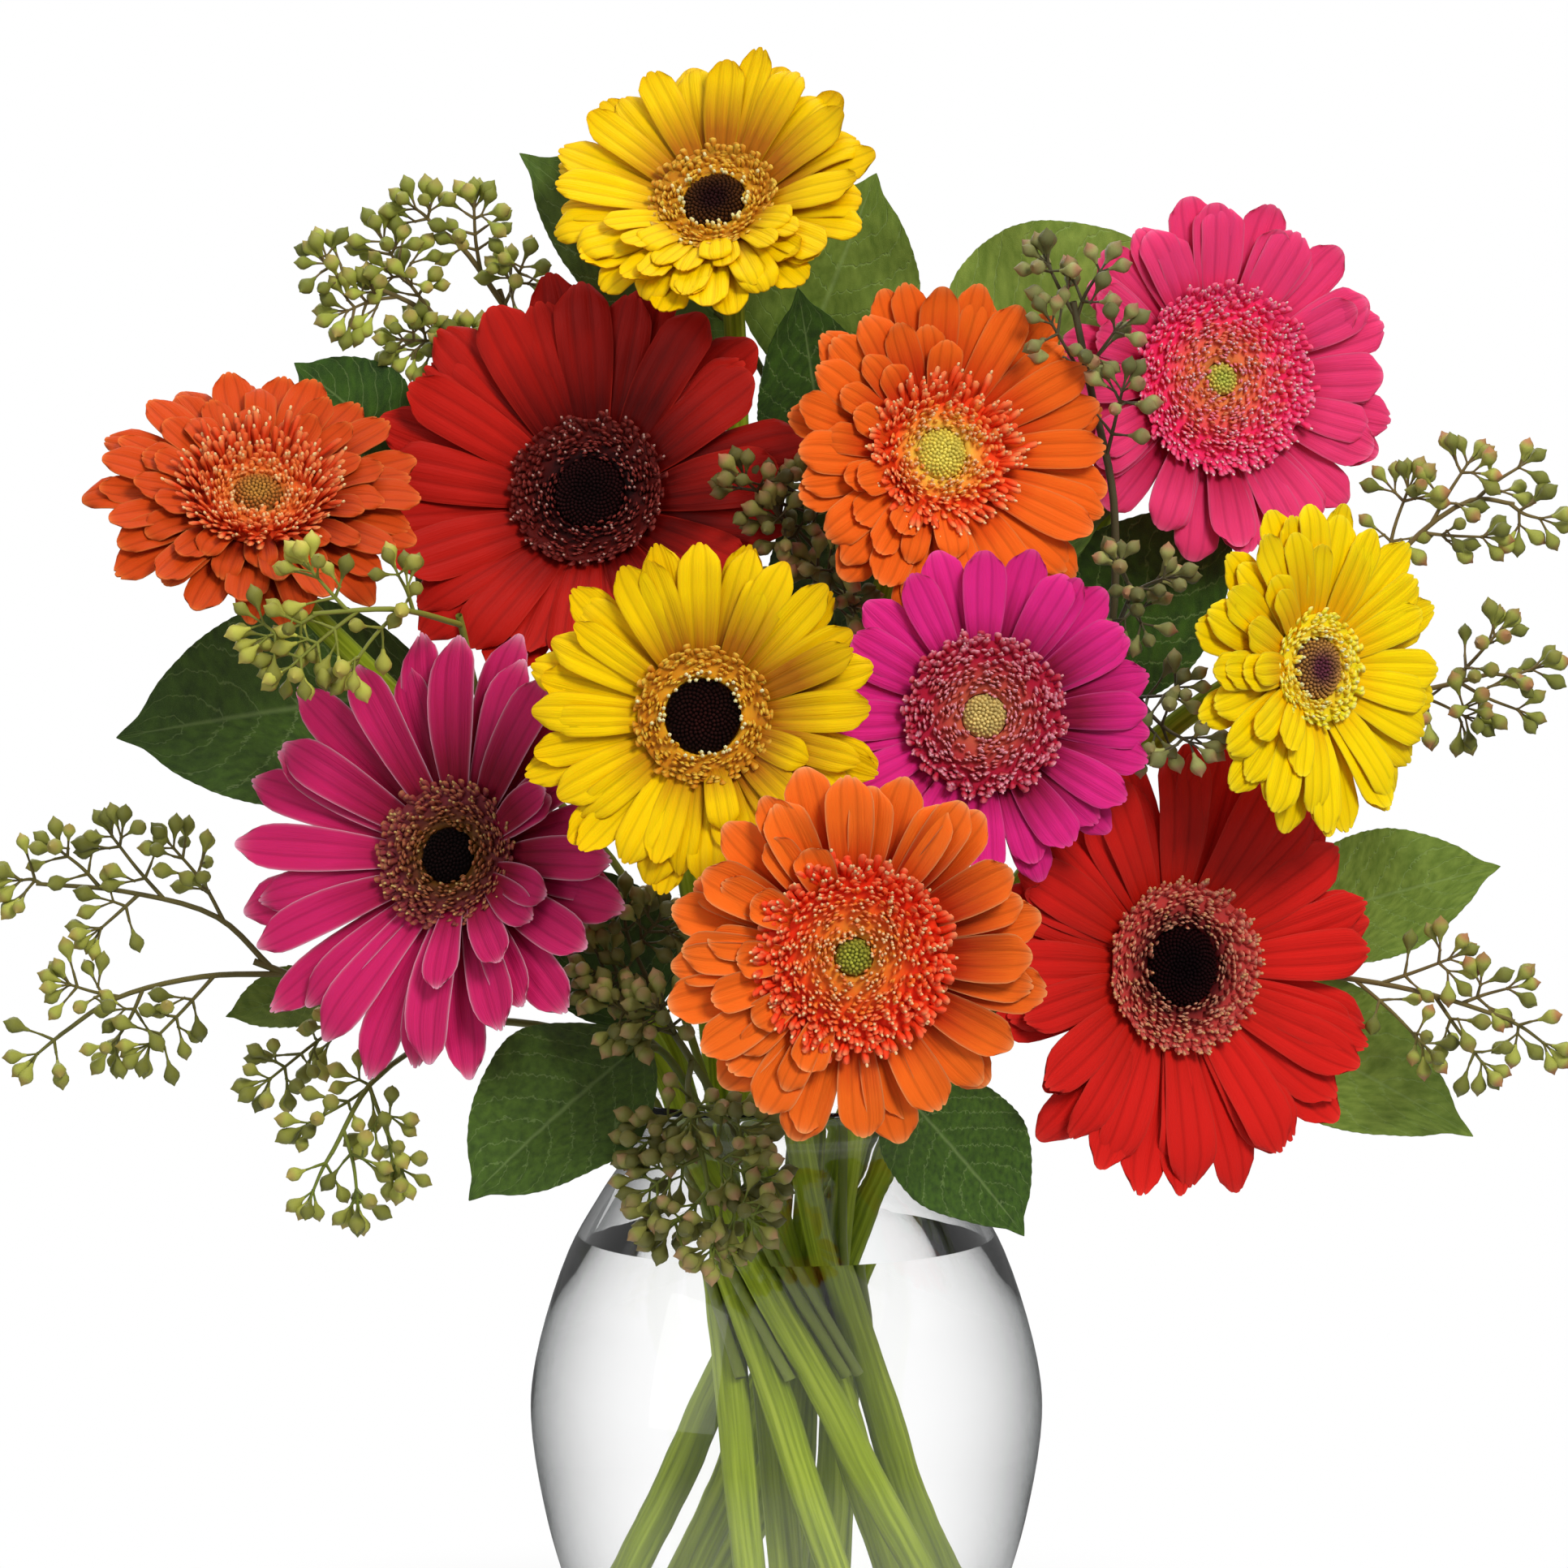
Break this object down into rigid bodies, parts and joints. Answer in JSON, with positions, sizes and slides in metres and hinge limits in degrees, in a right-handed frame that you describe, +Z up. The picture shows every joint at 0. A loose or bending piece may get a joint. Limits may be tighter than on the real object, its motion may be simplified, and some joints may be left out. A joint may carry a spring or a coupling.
{
  "type": "gerberas in a vase",
  "caption": "Mixed cut gerberas with seeded eucalyptus and broad green leaves, standing in water in a clear glass vase.",
  "frame": {"origin": "centre of the vase's flat foot", "axes": "+Z up along the vase's axis, -Y towards the viewer that the blooms face, +X to that viewer's right"},
  "size_m": [0.4364, 0.1985, 0.4738],
  "materials": {
    "clear_glass": "polished clear",
    "water": "clear",
    "gerbera_stem": "soft satin",
    "broad_leaf": "waxy satin",
    "eucalyptus": "matte",
    "petal_yellow_top": "soft satin",
    "floret_yellow_top": "matte",
    "eye_yellow_top": "matte",
    "petal_orange_left": "soft satin",
    "floret_orange_left": "matte",
    "eye_orange_left": "matte",
    "petal_red_left": "soft satin",
    "floret_red_left": "matte",
    "eye_red_left": "matte",
    "petal_orange_mid": "soft satin",
    "floret_orange_mid": "matte",
    "eye_orange_mid": "matte",
    "petal_pink_right": "soft satin",
    "floret_pink_right": "matte",
    "eye_pink_right": "matte",
    "petal_yellow_right": "soft satin",
    "floret_yellow_right": "matte",
    "eye_yellow_right": "matte",
    "petal_magenta_mid": "soft satin",
    "floret_magenta_mid": "matte",
    "eye_magenta_mid": "matte",
    "petal_yellow_mid": "soft satin",
    "floret_yellow_mid": "matte",
    "eye_yellow_mid": "matte",
    "petal_crimson_left": "soft satin",
    "floret_crimson_left": "matte",
    "eye_crimson_left": "matte",
    "petal_orange_low": "soft satin",
    "floret_orange_low": "matte",
    "eye_orange_low": "matte",
    "petal_red_right": "soft satin",
    "floret_red_right": "matte",
    "eye_red_right": "matte"
  },
  "bodies": {
    "root": {"vase": "clear_glass", "water": "water", "stem_yellow_top": "gerbera_stem", "petals_yellow_top": "petal_yellow_top", "florets_yellow_top": "floret_yellow_top", "eye_yellow_top": "eye_yellow_top", "stem_orange_left": "gerbera_stem", "petals_orange_left": "petal_orange_left", "florets_orange_left": "floret_orange_left", "eye_orange_left": "eye_orange_left", "stem_red_left": "gerbera_stem", "petals_red_left": "petal_red_left", "florets_red_left": "floret_red_left", "eye_red_left": "eye_red_left", "stem_orange_mid": "gerbera_stem", "petals_orange_mid": "petal_orange_mid", "florets_orange_mid": "floret_orange_mid", "eye_orange_mid": "eye_orange_mid", "stem_pink_right": "gerbera_stem", "petals_pink_right": "petal_pink_right", "florets_pink_right": "floret_pink_right", "eye_pink_right": "eye_pink_right", "stem_yellow_right": "gerbera_stem", "petals_yellow_right": "petal_yellow_right", "florets_yellow_right": "floret_yellow_right", "eye_yellow_right": "eye_yellow_right", "stem_magenta_mid": "gerbera_stem", "petals_magenta_mid": "petal_magenta_mid", "florets_magenta_mid": "floret_magenta_mid", "eye_magenta_mid": "eye_magenta_mid", "stem_yellow_mid": "gerbera_stem", "petals_yellow_mid": "petal_yellow_mid", "florets_yellow_mid": "floret_yellow_mid", "eye_yellow_mid": "eye_yellow_mid", "stem_crimson_left": "gerbera_stem", "petals_crimson_left": "petal_crimson_left", "florets_crimson_left": "floret_crimson_left", "eye_crimson_left": "eye_crimson_left", "stem_orange_low": "gerbera_stem", "petals_orange_low": "petal_orange_low", "florets_orange_low": "floret_orange_low", "eye_orange_low": "eye_orange_low", "stem_red_right": "gerbera_stem", "petals_red_right": "petal_red_right", "florets_red_right": "floret_red_right", "eye_red_right": "eye_red_right", "leaves_top": "broad_leaf", "leaves_top_right": "broad_leaf", "leaves_left": "broad_leaf", "leaves_low_left": "broad_leaf", "leaves_low_right": "broad_leaf", "leaves_right": "broad_leaf", "eucalyptus_top_left": "eucalyptus", "eucalyptus_left": "eucalyptus", "eucalyptus_low_left": "eucalyptus", "eucalyptus_neck": "eucalyptus", "eucalyptus_centre": "eucalyptus", "eucalyptus_right": "eucalyptus", "eucalyptus_far_right": "eucalyptus"}
  },
  "joints": []
}
